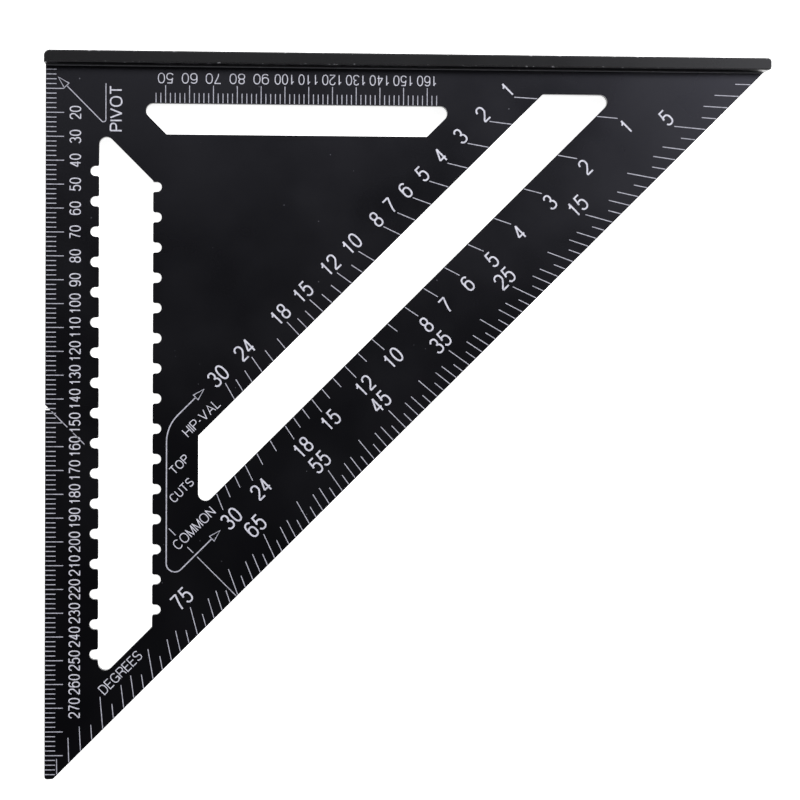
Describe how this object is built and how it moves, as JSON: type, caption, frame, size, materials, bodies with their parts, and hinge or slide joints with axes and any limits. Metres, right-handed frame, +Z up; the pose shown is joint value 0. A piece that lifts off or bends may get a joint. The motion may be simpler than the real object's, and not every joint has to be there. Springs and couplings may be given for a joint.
{
  "type": "rafter square",
  "caption": "Triangular rafter square with a full-length fence, notched scribing slot and printed millimetre, degree and rafter scales.",
  "frame": {"origin": "pivot corner, where the fence's inner face meets the blade's left edge, on the blade's underside", "axes": "+X along the fence away from the pivot corner, +Y out through the fence's back, +Z up through the face that carries the scales"},
  "size_m": [0.3048, 0.305, 0.0254],
  "materials": {
    "anodised_blade": "black anodised, satin",
    "anodised_fence": "black anodised, satin",
    "fine_marks": "thin pale printed ink",
    "figure_marks": "pale printed ink"
  },
  "bodies": {
    "root": {"blade": "anodised_blade", "fence": "anodised_fence", "edge_scale_graduations": "fine_marks", "edge_scale_numbers": "figure_marks", "slot_scale_graduations": "fine_marks", "slot_scale_numbers": "figure_marks", "degree_scale_graduations": "fine_marks", "degree_scale_numbers": "figure_marks", "degree_scale_label": "figure_marks", "common_scale_graduations": "fine_marks", "common_scale_numbers": "figure_marks", "common_scale_label": "figure_marks", "hip_valley_scale_graduations": "fine_marks", "hip_valley_scale_numbers": "figure_marks", "hip_valley_scale_label": "figure_marks", "top_cuts_label": "figure_marks", "top_cuts_bracket": "fine_marks", "pivot_label": "figure_marks", "pivot_pointer": "fine_marks", "cross_line": "fine_marks"}
  },
  "joints": []
}
